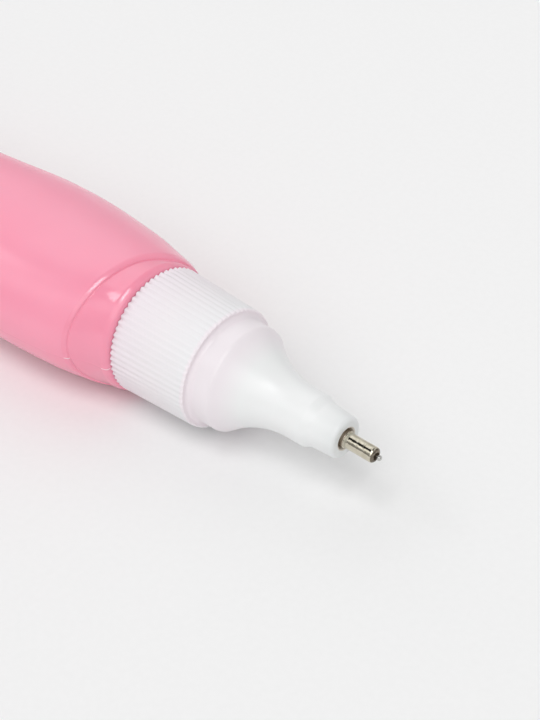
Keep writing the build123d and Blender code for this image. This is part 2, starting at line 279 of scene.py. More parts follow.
def belly_size(x):
    """Half width and half height at x, all round."""
    forward = np.clip((x - LEAN_START) / LEAN_RUN, 0, 1)
    lean = forward**2 * (3 - 2 * forward) * (LEAN_ALL_ROUND + LEAN_NEAR * nearness)
    behind = np.clip((FULL_START - x) / FULL_RUN, 0, 1) * np.clip((x - TAIL_ROUND_X) / FULL_TAIL_RUN, 0, 1)
    far_and_up = np.clip(np.sin(2 * bottle_angles), 0, 1) ** 2 * (nearness < 0)
    fuller = FULLNESS * behind * far_and_up
    half_width = smooth_curve(section_places, section_widths, x) + lean + fuller
    half_height = smooth_curve(section_places, section_heights, x) + fuller
    return half_width, half_height


def belly_row(x, drop=0.0, ridge=mould_line):
    """Adds a row to the bottle's outside: its oval at x, let in by the drop, with a ridge along the mould line."""
    half_width, half_height = belly_size(x)
    outer_rows.append(oval(x, half_width - drop, half_height - drop, ridge))


for x in np.linspace(TAIL_ROUND_X, BELLY_X, BELLY_ROWS):
    belly_row(x, ridge=mould_line * min(1, (x - TAIL_ROUND_X) / LINE_FADE))
print(len(outer_rows), "rows from the tail to the widest place")

# %% [markdown]
# The slanted shoulder is where the belly steps down to the band.
# Its line dips back on the near side, so rows of the grid swing round to follow it.
# The belly rolls over into the step, more widely on top and on the far side. The roll keeps one gentle slope
# for a third of its run before it falls away, and that slope is what catches the bulbs as a bright line.

# %% Rolled shoulder
SHOULDER_ROWS, ROLL_LEAD = 26, 0.05  # the last even row stands this far before the roll, in mm
line_degrees = np.array((0, 45, 90, 135, 180, 210, 225, 260, 310))
line_places = np.array((20.4, 20.2, 17.75, 16.35, 15.95, 16.9, 18.0, 20.0, 20.4))
whole_turns = np.concatenate((line_degrees - 360, line_degrees, line_degrees + 360))
shoulder_x = smooth_curve(np.radians(whole_turns), np.tile(line_places, 3), bottle_angles)
shoulder_step = 0.33 - 0.1 * nearness  # in mm, like the run
roll_run = 1.0 - 0.4 * nearness
# The roll, in shares of its run and of the step
shoulder_roll = [(0.1, 0.01), (0.25, 0.05), (0.4, 0.12), (0.5, 0.185), (0.6, 0.26)]
shoulder_roll += [(0.7, 0.335), (0.8, 0.41), (0.88, 0.49), (0.95, 0.65), (1, 1)]
for share in np.linspace(0, 1, SHOULDER_ROWS)[1:]:
    belly_row(BELLY_X + share * (shoulder_x - roll_run - ROLL_LEAD - BELLY_X))
flash_rows = []
for along, down in shoulder_roll:
    flash_rows.append(len(outer_rows))
    belly_row(shoulder_x - roll_run * (1 - along), shoulder_step * down, edge_flash * along)
belly_rows = len(outer_rows)
print("shoulder between", round(shoulder_x.min(), 2), "and", round(shoulder_x.max(), 2), "at row", belly_rows)

# %% [markdown]
# A tight groove marks the shoulder's foot. The band in front of it ends in an edge that stands out round the collar.
# On the real pen the edge stands out more on the near side than on the far one, where it is almost flush.
# It has a gentle slope like the shoulder's, which mirrors the same bulbs. The mould line crosses it with a real ridge
# of flash, as it does on the shoulder, and the short pale tick there is a painted highlight in the flash's colour.

# %% Band and its front edge
BAND_ROWS, GROOVE_WIDTH = 14, 0.25
EDGE_RUN, EDGE_DROP = 1.0, 0.65
EDGE_RADIUS, EDGE_STANDS_OUT, PROUDEST, PROUD_POWER = 8.1, 0.65, math.radians(160), 2.5
# The groove, in mm in front of the shoulder's line and below its step, and the edge, in shares of its run and drop
groove = [(0.03, 0.05), (0.07, 0.055), (0.12, 0.03), (0.18, 0.008)]
front_edge = [(0.14, 0.01), (0.25, 0.045), (0.35, 0.09), (0.44, 0.135), (0.53, 0.18)]
front_edge += [(0.62, 0.23), (0.72, 0.3), (0.82, 0.4), (0.91, 0.56), (0.97, 0.76), (1, 1)]
front_radius = EDGE_RADIUS + EDGE_STANDS_OUT * ((1 + np.cos(bottle_angles - PROUDEST)) / 2) ** PROUD_POWER
for after, deeper in groove:
    belly_row(shoulder_x + after, shoulder_step + deeper)
for share in np.linspace(0, 1, BAND_ROWS):
    x = shoulder_x + GROOVE_WIDTH + share * np.maximum(BAND_X - EDGE_RUN - shoulder_x - GROOVE_WIDTH, 0)
    band_sizes = [share * front_radius + (1 - share) * (size - shoulder_step) for size in belly_size(x)]
    outer_rows.append(oval(x, *band_sizes, mould_line))
edge_start = np.maximum(BAND_X - EDGE_RUN, shoulder_x + GROOVE_WIDTH)
for along, down in front_edge:
    flash_rows.append(len(outer_rows))
    r = front_radius - EDGE_DROP * down
    flash = edge_flash * 2 * along * math.sqrt(1 - along**2)
    outer_rows.append(oval(edge_start + (BAND_X - edge_start) * along, r, r, flash))
print(len(outer_rows) - belly_rows, "band rows")

# %% [markdown]
# In front of the band the bottle turns round: a flat face, a threaded neck and the mouth.
# They only show when the collar is unscrewed, but then the viewer looks straight at them and down the bore.
# The same grid goes on through the mouth and back along the inner wall, so the bottle has a real thickness.

# %% Neck, mouth and inner wall of the bottle
NECK_RADIUS, NECK_ROUND, BORE_RADIUS = 5.7, 0.2, 4.4
WALL, FRONT_WALL, INNER_ROWS = 1.0, 1.3, 40
INNER_TAIL_DEPTH, INNER_TAIL_ROUND = 3.1, 3.0
SATIN, POLISHED, TICK_PAINTED_HIGHLIGHT = 0, 1, 2  # the bottle's finishes
neck_rows = []
for share in (0.03, 0.3, 0.6, 0.9):
    r = (1 - share) * (front_radius - EDGE_DROP) + share * (NECK_RADIUS + NECK_ROUND)
    neck_rows.append(oval(BAND_X, r, r))
neck_outline = rounded(
    [
        (BAND_X, 6.1, 0),
        (BAND_X, NECK_RADIUS, NECK_ROUND),
        (MOUTH_X, NECK_RADIUS, 0.25),
        (MOUTH_X, BORE_RADIUS, 0.2),
        (BAND_X - FRONT_WALL, BORE_RADIUS, 0.15),
        (BAND_X - FRONT_WALL, 6.8, 0),
    ],
    closed=False,
)
neck_rows += [oval(x, r, r) for x, r in neck_outline[1:]]
for x in np.linspace(BAND_X - FRONT_WALL, TAIL_ROUND_X, INNER_ROWS):
    inner_sizes = [smooth_curve(section_places, sizes, x) - WALL for sizes in (section_widths, section_heights)]
    neck_rows.append(oval(x, *inner_sizes))
for angle in np.radians(np.linspace(80, 0, 9)):
    r = FOOT_RADIUS + INNER_TAIL_ROUND * math.sin(angle)
    neck_rows.append(oval(TAIL_ROUND_X - INNER_TAIL_DEPTH * math.cos(angle), r, r))
neck_rows.append(oval(TAIL_ROUND_X - INNER_TAIL_DEPTH, 0, 0))
bottle_finish = np.full((len(outer_rows) + len(neck_rows), len(bottle_angles)), SATIN)
bottle_finish[flash_rows[0] :] = POLISHED
# Where the flash ridge crosses the shoulder and the band's edge, its faces get a pale finish, a painted highlight.
on_flash = (away < FLASH_SPREAD) & (np.roll(away, -1) < FLASH_SPREAD)
bottle_finish[np.ix_(flash_rows, np.flatnonzero(on_flash))] = TICK_PAINTED_HIGHLIGHT
print(len(neck_rows), "rows from the front face back to the inner tail")

# %% [markdown]
# The screw thread is a round bead wound twice round the neck, right-handed, with run-out ends as a mould would leave.
# A curve with a bevel could draw it, but as one more grid it stays part of the bottle's own mesh.
# The collar's inner bead uses the same few lines.

# %% Thread beads
THREAD_PITCH, BEAD_RADIUS = 2.5, 0.44
BEAD_END = 0.001  # mm of radius left at the bead's ends, so that no points fall together
RUN_OUT, BEAD_COLUMNS, QUARTER_ROWS = math.radians(35), 14, 20


def thread_bead(radius, start_x, quarters, finish):
    """A grid of a round bead along a right-hand helix about the pen's axis, some quarter turns long."""
    turn = np.linspace(0, quarters * math.pi / 2, quarters * QUARTER_ROWS + 1)
    run_out = np.clip(np.minimum(turn, turn[-1] - turn) / RUN_OUT, 0, 1)
    size = (BEAD_RADIUS * np.sqrt(1 - (1 - run_out) ** 2) + BEAD_END)[:, None]
    round_bead = np.linspace(0, math.tau, BEAD_COLUMNS, endpoint=False)
    turn = turn[:, None]
    r = radius + size * np.cos(round_bead)
    x = start_x + THREAD_PITCH * turn / math.tau + size * np.sin(round_bead)
    points = np.stack((x, r * np.cos(turn), AXIS_HEIGHT + r * np.sin(turn)), axis=2)
    return points, False, finish


bottle = build_skin(
    "bottle_skin",
    [(np.array(outer_rows + neck_rows), False, bottle_finish), thread_bead(NECK_RADIUS, 23.675, 8, POLISHED)],
    "bottle",
    "bottle",
)

# %% [markdown]
# The collar is an injection-moulded nut with sixty-two fine finger ribs, slightly conical so that it leaves its mould.
# Each rib is a low rounded ridge with a tight valley, which deepens into teeth at both rims, most at the rear one.
# A normal map would leave the rims smooth, and the toothed rim against the pink is the first thing one sees.

# %% Ribbed collar
RIBS, RIB_COLUMNS, RIB_DEPTH, VALLEY_POWER = 62, 12, 0.08, 1.3
REAR_TEETH, REAR_TEETH_RUN, FRONT_TEETH, FRONT_TEETH_RUN = 0.23, 0.5, 0.09, 0.35
COLLAR_REAR, COLLAR_FRONT, WEB_X = 21.02, 32.025, 30.725
REAR_RADIUS, FRONT_RADIUS, RIB_FOOT, COLLAR_BORE, WEB_HOLE = 8.0, 7.52, 7.0, 6.3, 5.0
rib_angles = np.linspace(0, math.tau, RIBS * RIB_COLUMNS, endpoint=False)
rib_valley = (np.abs((rib_angles * RIBS / math.tau) % 1 - 0.5) * 2) ** VALLEY_POWER


def crest(x):
    """The ribs' outer radius at x."""
    return REAR_RADIUS + (FRONT_RADIUS - REAR_RADIUS) * (x - COLLAR_REAR) / (COLLAR_FRONT - COLLAR_REAR)


def collar_row(x, r):
    """One row of the collar. Its valleys are half as deep in front, and run out on the rims' faces."""
    teeth = REAR_TEETH * math.exp(-(((x - COLLAR_REAR) / REAR_TEETH_RUN) ** 2))
    teeth += FRONT_TEETH * math.exp(-(((x - COLLAR_FRONT) / FRONT_TEETH_RUN) ** 2))
    depth = RIB_DEPTH * (1 - 0.5 * (x - COLLAR_REAR) / (COLLAR_FRONT - COLLAR_REAR)) + teeth
    ring = r - np.clip((r - RIB_FOOT) / (crest(x) - RIB_FOOT), 0, 1) * depth * rib_valley
    return np.stack((x + 0 * ring, ring * np.cos(rib_angles), AXIS_HEIGHT + ring * np.sin(rib_angles)), axis=1)


rib_places = [COLLAR_REAR + along for along in (0.2, 0.4, 0.65, 0.9, 1.3, 3, 6, 9, 10)]
collar_outline = rounded(
    [
        (COLLAR_REAR, COLLAR_BORE + 0.3, 0),
        (COLLAR_REAR, REAR_RADIUS, 0.06),
        *[(x, crest(x), 0) for x in rib_places],
        (COLLAR_FRONT, FRONT_RADIUS, 0.2),
        (COLLAR_FRONT, 6.9, 0),
        (COLLAR_FRONT, WEB_HOLE, 0.08),
        (31.635, WEB_HOLE, 0),
        (31.375, WEB_HOLE + 0.26, 0),
        (31.115, WEB_HOLE, 0),
        (WEB_X, WEB_HOLE, 0.05),
        (WEB_X, COLLAR_BORE, 0.25),
        (COLLAR_REAR + 0.3, COLLAR_BORE, 0),
    ],
    closed=True,
)
collar_rows = np.array([collar_row(x, r) for x, r in collar_outline])
collar = build_skin(
    "collar_ribs",
    [(collar_rows, True, 0), thread_bead(COLLAR_BORE, 22.755, 7, 0)],
    "front_unit",
    "ribbed_collar",
)

# %% [markdown]
# The nozzle is one turned form: a plug that seals the bottle's mouth, a shank snapped into the collar,
# a flange for the cap, a bell, a waist and a short spigot round the metal tip.
# It is drawn as a section and turned, with a bore and a funnel inside.
# A brownish ring of shade, warmed by the metal it mirrors, shows round the tip. It is painted shade, a second finish
# on the same mesh.

# %% Nozzle
NOZZLE_COLUMNS, RECESS_X = 144, 49.275
SHADE_REAR, SHADE_RADIUS = 49.2, 1.52  # the painted shade lies in front of the one and inside the other
nozzle_outline = rounded(
    [
        (26.125, 3.4, 0.1),
        (26.125, 3.85, 0),
        (26.625, 4.35, 0),
        (30.725, 4.35, 0.06),
        (30.725, 4.99, 0),
        (31.125, 4.99, 0),
        (31.375, 5.24, 0),
        (31.625, 4.99, 0),
        (32.04, 4.99, 0),
        (32.04, 7.2, 0),
        (32.05, 7.2, 0),
        (32.05, 6.6, 0.59),
        (34.875, 6.6, 0.8),
        (39.045, 3.17, 12.2),
        (45.375, 3.17, 0.6),
        (46.375, 2.72, 0.6),
        (49.775, 2.5, 0.5),
        (49.775, 1.27, 0.22),
        (RECESS_X, 1.27, 0.02),
        (RECESS_X, 1.21, 0),
        (41.475, 1.21, 0),
        (35.625, 3.4, 0.4),
    ],
    closed=True,
)
# The faces of the recess round the tip get the painted shade finish.
in_recess_shade = (nozzle_outline[:, :1] > SHADE_REAR) & (nozzle_outline[:, 1:] < SHADE_RADIUS)
nozzle = build_skin(
    "nozzle_bell",
    [turned(nozzle_outline, NOZZLE_COLUMNS, True, in_recess_shade)],
    "front_unit",
    "nozzle",
)

# %% [markdown]
# The tip is a tiny turned brass tube, nickel-plated, with a base ring in the nozzle's recess and a rounded rim.
# A steel needle stands in its mouth and shuts it until it is pressed.
# Its bore, rim and base ring are painted darker than the plate: shade down the bore, shade and dark reflections on the
# rim, and brownish shade of the nozzle's recess on the base ring, so the mesh has four finishes.

# %% Tip ferrule
FERRULE_COLUMNS, BASE_FRONT, RIM_REAR = 72, 50.02, 53.8
PLATED, BORE_PAINTED_SHADE, RIM_PAINTED_DARK, BASE_PAINTED_SHADE = 0, 1, 2, 3  # the ferrule's finishes
ferrule_outside = rounded(
    [
        (41.475, 0.85, 0),
        (41.475, 1.0, 0),
        (41.675, 1.2, 0),
        (RECESS_X, 1.2, 0.03),
        (RECESS_X, 1.07, 0),
        (50.075, 1.07, 0.12),
        (50.075, 0.94, 0.06),
        (54.015, 0.94, 0.44),
        (54.015, 0.49, 0),
    ],
    closed=False,
)
ferrule_inside = rounded(
    [
        (54.015, 0.49, 0),
        (54.0, 0.48, 0),
        (53.665, 0.48, 0),
        (53.665, 0.45, 0),
        (52.465, 0.45, 0),
        (52.065, 0.62, 0),
        (45.825, 0.62, 0),
        (45.825, 0.85, 0),
        (41.475, 0.85, 0),
    ],
    closed=False,
)
along = ferrule_outside[:, :1]
# The base ring in the recess gets a finish with painted shade, and the rim one with painted dark reflection.
outside_finish = np.select([along < BASE_FRONT, along > RIM_REAR], [BASE_PAINTED_SHADE, RIM_PAINTED_DARK], PLATED)
ferrule = build_skin(
    "ferrule_tube",
    [
        turned(ferrule_outside, FERRULE_COLUMNS, False, outside_finish),
        turned(ferrule_inside, FERRULE_COLUMNS, False, BORE_PAINTED_SHADE),
    ],
    "front_unit",
    "tip_ferrule",
)

# %% Needle
NEEDLE_COLUMNS, DOME_X, DOME_RADIUS = 48, 54.395, 0.33
needle_shank = rounded(
    [
        (41.975, 0, 0),
        (41.975, 0.3, 0.06),
        (51.24, 0.3, 0.03),
        (51.24, 0.57, 0.05),
        (52.14, 0.57, 0),
        (52.7, 0.33, 0),
        (53.6, 0.33, 0.1),
        (53.9, 0.26, 0.1),
        (54.18, 0.26, 0),
    ],
    closed=False,
)
dome_angles = np.radians(np.linspace(-38, 90, 14))
needle_dome = np.stack((DOME_X + DOME_RADIUS * np.sin(dome_angles), DOME_RADIUS * np.cos(dome_angles)), axis=1)
needle_outline = np.concatenate((needle_shank, needle_dome))
needle = build_skin(
    "needle_pin",
    [turned(needle_outline, NEEDLE_COLUMNS, False)],
    "needle",
    "valve_needle",
)

# %% [markdown]
# Materials share two small helpers: one turns an sRGB hex colour to the linear values that shaders use,
# and one adds a node, sets its fields and sockets, and links what it is given.
# Patterns read Object coordinates in metres, so a scale is one over a real size.


# %% Material helpers
def linear(hex_colour):
    """The linear RGBA of an sRGB hex colour."""
    parts = [int(hex_colour[i : i + 2], 16) / 255 for i in (1, 3, 5)]
    return (*[p / 12.92 if p <= 0.04045 else ((p + 0.055) / 1.055) ** 2.4 for p in parts], 1)


def add(tree, kind, sockets=None, **fields):
    """Adds a node. A socket's value is a number, a colour, or another node's output to link."""
    node = tree.nodes.new("ShaderNode" + kind)
    for field, value in fields.items():
        setattr(node, field, value)
    for name, value in (sockets or {}).items():
        if isinstance(value, bpy.types.NodeSocket):
            tree.links.new(value, node.inputs[name])
        else:
            node.inputs[name].default_value = value
    return node


def new_material(name):
    """An empty material, its node tree and its Object coordinates."""
    material = bpy.data.materials.new(name)
    material.use_nodes = True
    material.node_tree.nodes.clear()
    return material, material.node_tree, add(material.node_tree, "TexCoord").outputs["Object"]


def dress(piece, *materials):
    """Gives a piece these materials, in the order of its finishes, in place of any that it came with."""
    if piece.data.materials:
        piece.data.materials.clear()
    for material in materials:
        piece.data.materials.append(material)


print("middle grey is", [round(v, 3) for v in linear("#808080")])

# %% [markdown]
# The bottle is coloured low-density polyethylene, blow-moulded against a fine-blasted mould with a polished band.
# To the eye that is a satin gloss that never mirrors, a colour that shifts a little with the wall's thickness,
# and a surface that is slightly wavy. Light goes a millimetre or so into it, which softens its shade.

# %% Pink polyethylene
WALL_MM = 14  # over which the wall's thickness drifts
GRAIN_MM, GRAIN_HEIGHT_MM = 0.35, 0.008  # coarser than the real blast, which is too fine to show
GLOW_MM = (1.5, 0.5, 0.6)  # how far red, green and blue light goes into the plastic


def pink_polyethylene(name, deep, pale, roughness, wave_mm, wave_height_mm):
    """Blow-moulded polyethylene between two tones, with a gloss between two roughnesses and a wavy surface."""
    material, tree, place = new_material(name)
    wall = add(tree, "TexNoise", {"Vector": place, "Scale": 1 / (WALL_MM * MM), "Detail": 2.0, "Roughness": 0.4})
    tone = add(tree, "ValToRGB", {"Fac": wall.outputs["Fac"]})
    tone.color_ramp.elements[0].position, tone.color_ramp.elements[0].color = 0.3, linear(deep)
    tone.color_ramp.elements[1].position, tone.color_ramp.elements[1].color = 0.7, linear(pale)
    grain = add(tree, "TexNoise", {"Vector": place, "Scale": 1 / (GRAIN_MM * MM), "Detail": 3.0}).outputs["Fac"]
    gloss = add(tree, "MapRange", {"Value": grain, "To Min": roughness[0], "To Max": roughness[1]})
    waves = add(tree, "TexNoise", {"Vector": place, "Scale": 1 / (wave_mm * MM), "Detail": 1.0})
    wavy = add(tree, "Bump", {"Height": waves.outputs["Fac"], "Strength": 1.0, "Distance": wave_height_mm * MM})
    grainy = add(
        tree,
        "Bump",
        {"Height": grain, "Strength": 0.2, "Distance": GRAIN_HEIGHT_MM * MM, "Normal": wavy.outputs["Normal"]},
    )
    shader = add(
        tree,
        "BsdfPrincipled",
        {
            "Base Color": tone.outputs["Color"],
            "Roughness": gloss.outputs["Result"],
            "IOR": 1.51,
            "Subsurface Weight": 0.12,
            "Subsurface Radius": [depth * MM for depth in GLOW_MM],
            "Subsurface Scale": 1.0,
            "Normal": grainy.outputs["Normal"],
        },
    )
    add(tree, "OutputMaterial", {"Surface": shader.outputs["BSDF"]})
    print(name, "between", deep, "and", pale)
    return material


# %% Finishes of the bottle
satin_pink = pink_polyethylene(
    "blow_moulded_pink_polyethylene",
    deep="#f597af",
    pale="#f69db4",
    roughness=(0.2, 0.28),
    wave_mm=6,
    wave_height_mm=0.02,
)
polished_pink = pink_polyethylene(
    "polished_pink_polyethylene",
    deep="#f393ab",
    pale="#f499b0",
    roughness=(0.1, 0.16),
    wave_mm=1.3,
    wave_height_mm=0.008,
)
# Painted highlight: this pale pink stands in for the light that the flash ridges catch.
flash_painted_highlight = pink_polyethylene(
    "polyethylene_flash_painted_highlight",
    deep="#f8c4d1",
    pale="#fbd3dd",
    roughness=(0.4, 0.5),
    wave_mm=1.3,
    wave_height_mm=0.008,
)
dress(bottle, satin_pink, polished_pink, flash_painted_highlight)

# %% [markdown]
# The collar is white polypropylene, injection-moulded, stiffer and drier-looking than the bottle.
# It is a little translucent, and the pink glow that the bottle's light gives its rear end through it is painted into
# its colour, as is a paler pink painted light where its front meets the nozzle. Between them it is a plain white.
# The nozzle is softer: white polyethylene from a polished mould, with a waxy gloss. Its lilac at the flange is painted
# pink light from the bottle through the plastic, and its bell is a cool white, painted a little darker towards the tip
# as painted shade. The ring round its tip is painted brownish shade.

# %% White plastics
DRIFT_MM = 0.4  # how far a tint wanders to and fro along the pen
WHITE_GLOW_MM = (0.6, 0.51, 0.54)


def moulded_white(name, tints, run_mm, cloud_mm, roughness, wave_mm, wave_height_mm):
    """A white plastic with tints at shares of the way between two places on the pen, tints that paint light and shade,
    and a slightly wavy gloss.
    """
    material, tree, place = new_material(name)
    cloud = add(tree, "TexNoise", {"Vector": place, "Scale": 1 / (cloud_mm * MM), "Detail": 2.0}).outputs["Fac"]
    drift = DRIFT_MM / (run_mm[1] - run_mm[0])
    least = add(tree, "MapRange", {"Value": cloud, "To Min": -drift, "To Max": drift}, clamp=False)
    most = add(tree, "MapRange", {"Value": cloud, "To Min": 1 - drift, "To Max": 1 + drift}, clamp=False)
    share = add(
        tree,
        "MapRange",
        {
            "Value": add(tree, "SeparateXYZ", {"Vector": place}).outputs["X"],
            "From Min": run_mm[0] * MM,
            "From Max": run_mm[1] * MM,
            "To Min": least.outputs["Result"],
            "To Max": most.outputs["Result"],
        },
    )
    tone = add(tree, "ValToRGB", {"Fac": share.outputs["Result"]})
    tone.color_ramp.elements.remove(tone.color_ramp.elements[1])
    for position, colour in tints:
        tone.color_ramp.elements.new(position).color = linear(colour)
    tone.color_ramp.elements.remove(tone.color_ramp.elements[0])
    waves = add(tree, "TexNoise", {"Vector": place, "Scale": 1 / (wave_mm * MM), "Detail": 1.0}).outputs["Fac"]
    gloss = add(tree, "MapRange", {"Value": waves, "To Min": roughness[0], "To Max": roughness[1]})
    wavy = add(tree, "Bump", {"Height": waves, "Strength": 0.3, "Distance": wave_height_mm * MM})
    shader = add(
        tree,
        "BsdfPrincipled",
        {
            "Base Color": tone.outputs["Color"],
            "Roughness": gloss.outputs["Result"],
            "IOR": 1.5,
            "Subsurface Weight": 0.05,
            "Subsurface Radius": [depth * MM for depth in WHITE_GLOW_MM],
            "Subsurface Scale": 1.0,
            "Normal": wavy.outputs["Normal"],
        },
    )
    add(tree, "OutputMaterial", {"Surface": shader.outputs["BSDF"]})
    print(name, "from", tints[0][1], "to", tints[-1][1])
    return material


# %% Finishes of the collar and the nozzle
# Painted light: the collar's pink at the rear is the bottle's glow through it, and the paler pink at the front
# lightens the groove's shade.
collar_painted_pink_glow = [(0, "#eae0e6"), (0.5, "#eae5e8"), (0.95, "#e9e8ea"), (1, "#f1e7ec")]
# Painted light: the flange's pale pink root and lilac stand in for light in the groove and the bottle's glow, and the
# bell's last tint is painted shade at the tip end.
flange_painted_pink_glow = [(0, "#f1e7ec"), (0.05, "#ece5e9"), (0.2, "#ece5e9")]
bell_tints_painted_shade = [(0.33, "#ebecec"), (0.8, "#ebecec"), (1, "#e1e3e3")]
recess_shade_tints = [(0, "#cdc5b9"), (1, "#d8d1c7")]
satin_white_painted_glow = moulded_white(
    "white_polypropylene_painted_pink_glow",
    collar_painted_pink_glow,
    run_mm=(21, 32.1),
    cloud_mm=7,
    roughness=(0.4, 0.5),
    wave_mm=0.3,
    wave_height_mm=0.01,
)
waxy_white_painted_light = moulded_white(
    "white_polyethylene_painted_glow_and_shade",
    flange_painted_pink_glow + bell_tints_painted_shade,
    run_mm=(32, 50),
    cloud_mm=8,
    roughness=(0.26, 0.34),
    wave_mm=3.5,
    wave_height_mm=0.03,
)
# Painted shade: this brownish grey stands in for the shade in the recess round the tip and the metal's warm reflection
# in it.
recess_shade_white = moulded_white(
    "white_polyethylene_painted_recess_shade",
    recess_shade_tints,
    run_mm=(SHADE_REAR, 49.8),
    cloud_mm=1,
    roughness=(0.4, 0.5),
    wave_mm=0.5,
    wave_height_mm=0.01,
)
dress(collar, satin_white_painted_glow)
dress(nozzle, waxy_white_painted_light, recess_shade_white)

# %% [markdown]
# The tip is brass with a polished nickel plate: a warm silver that mirrors the studio, with faint turning rings.
# Handling left shallow dents, which break up the long streaks that a true cylinder would mirror.
# Its rim is painted dark for the shade and dark reflections on it, its base ring brownish grey for the shade in the
# nozzle's recess, and its dull bore near black for the shade inside it.
# The needle is ground stainless steel, cooler and finer.
# The rings are some hundredths of a millimetre apart on the real tip, and are drawn coarser here to show at all.

# %% Turned metal
WAVE_PER_SCALE = math.tau / 20  # a Wave texture of this scale has one band to the unit
TONE_MM, RING_HEIGHT_MM = 0.7, 0.004


def turned_metal(name, dark, bright, ring_mm, smoothest, roughest, dent_mm=0.0):
    """A metal with turning rings round the pen's axis, a tone that drifts along it, and shallow dents."""
    material, tree, place = new_material(name)
    bands = {"Vector": place, "Scale": WAVE_PER_SCALE / (ring_mm * MM), "Distortion": 0.6, "Detail": 1.0}
    rings = add(tree, "TexWave", bands, bands_direction="X").outputs["Fac"]
    drift = add(tree, "TexNoise", {"Vector": place, "Scale": 1 / (TONE_MM * MM), "Detail": 2.0}).outputs["Fac"]
    tone = add(tree, "ValToRGB", {"Fac": drift})
    tone.color_ramp.elements[0].position, tone.color_ramp.elements[0].color = 0.3, linear(dark)
    tone.color_ramp.elements[1].position, tone.color_ramp.elements[1].color = 0.7, linear(bright)
    gloss = add(tree, "MapRange", {"Value": rings, "To Min": smoothest, "To Max": roughest})
    dented = add(tree, "Bump", {"Height": drift, "Strength": 1.0, "Distance": dent_mm * MM})
    ringed = add(
        tree,
        "Bump",
        {"Height": rings, "Strength": 0.15, "Distance": RING_HEIGHT_MM * MM, "Normal": dented.outputs["Normal"]},
    )
    shader = add(
        tree,
        "BsdfPrincipled",
        {
            "Base Color": tone.outputs["Color"],
            "Metallic": 1.0,
            "Roughness": gloss.outputs["Result"],
            "Normal": ringed.outputs["Normal"],
        },
    )
    add(tree, "OutputMaterial", {"Surface": shader.outputs["BSDF"]})
    print(name, "with rings", ring_mm, "mm apart")
    return material


# %% Finishes of the tip and the needle
# Name, dark and bright tone, mm between rings, least and most roughness, and mm of depth where it is dented
nickel = turned_metal("polished_nickel_plate", "#c6bfac", "#d8d2c2", 0.12, 0.05, 0.09, 0.05)
# Painted shade: the rim's dark tone stands in for the shade and dark reflections on the tip's end.
rim_painted_dark = turned_metal("nickel_rim_painted_shade", "#5e564c", "#8f8577", 0.06, 0.08, 0.16, 0.02)
# Painted shade: the base ring's brownish grey stands in for the shade of the nozzle's recess round it.
base_painted_recess_shade = turned_metal("nickel_base_painted_recess_shade", "#8d8377", "#ada294", 0.06, 0.16, 0.26)
# Painted shade: the bore's near-black tone stands in for the shade down the tube's mouth.
bore_painted_shade = turned_metal("dull_brass_bore_painted_shade", "#4a4035", "#5d5142", 0.08, 0.38, 0.5)
needle_steel = turned_metal("ground_stainless_steel", "#b9b8b4", "#cfcfcc", 0.05, 0.06, 0.12)
dress(ferrule, nickel, bore_painted_shade, rim_painted_dark, base_painted_recess_shade)
dress(needle, needle_steel)

# %% [markdown]
# The small inner pieces keep their CAD shapes, which are right as they are: washer, bushes, spring and mixing ball.
# The washer is die-cut from a pale grey elastomer, matte, with a chalky bloom and tiny specks of filler.
# The bushes are turned brass, yellow and satin. The spring is drawn wire, greyer, and the ball is polished steel,
# nearly a mirror.

# %% Rubber washer
SPECK_MM, SPECK_HEIGHT_MM, BLOOM_MM = 0.25, 0.02, 2
rubber, tree, place = new_material("die_cut_grey_elastomer")
specks = add(tree, "TexVoronoi", {"Vector": place, "Scale": 1 / (SPECK_MM * MM)}).outputs["Distance"]
bloom = add(tree, "TexNoise", {"Vector": place, "Scale": 1 / (BLOOM_MM * MM), "Detail": 3.0})
tone = add(tree, "ValToRGB", {"Fac": bloom.outputs["Fac"]})
tone.color_ramp.elements[0].position, tone.color_ramp.elements[0].color = 0.3, linear("#b5b2ad")
tone.color_ramp.elements[1].position, tone.color_ramp.elements[1].color = 0.7, linear("#c6c4bf")
gloss = add(tree, "MapRange", {"Value": specks, "To Min": 0.6, "To Max": 0.8})
speckled = add(tree, "Bump", {"Height": specks, "Strength": 0.3, "Distance": SPECK_HEIGHT_MM * MM})
shader = add(
    tree,
    "BsdfPrincipled",
    {
        "Base Color": tone.outputs["Color"],
        "Roughness": gloss.outputs["Result"],
        "IOR": 1.52,
        "Normal": speckled.outputs["Normal"],
    },
)
add(tree, "OutputMaterial", {"Surface": shader.outputs["BSDF"]})
print(rubber.name, "with specks", SPECK_MM, "mm apart")

# %% Finishes of the inner pieces
bush_brass = turned_metal("turned_brass", "#b8923f", "#cfab5c", 0.06, 0.2, 0.3)
spring_steel = turned_metal("drawn_spring_wire", "#9b9a97", "#b4b3b0", 0.04, 0.18, 0.28)
ball_steel = turned_metal("polished_ball_steel", "#bdbec0", "#d2d3d4", 0.5, 0.06, 0.1)
inner_finishes = {
    "mouth_seal": rubber,
    "needle_collar": bush_brass,
    "spring_stop": bush_brass,
    "valve_spring": spring_steel,
    "mixing_ball": ball_steel,
}
for node_name, material in inner_finishes.items():
    dress(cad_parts[node_name], material)
print("inner finishes:", {n: m.name for n, m in inner_finishes.items()})

# %% [markdown]
# The table is a sheet of matte white card, lit so that its own pale grey is what the camera sees.
# A plane is enough for it, with a faint fibre tone, because nothing but the pen's soft shadow falls on it.
# It is stage, not part of the pen, and lies a hair below it so that the two never share a face.

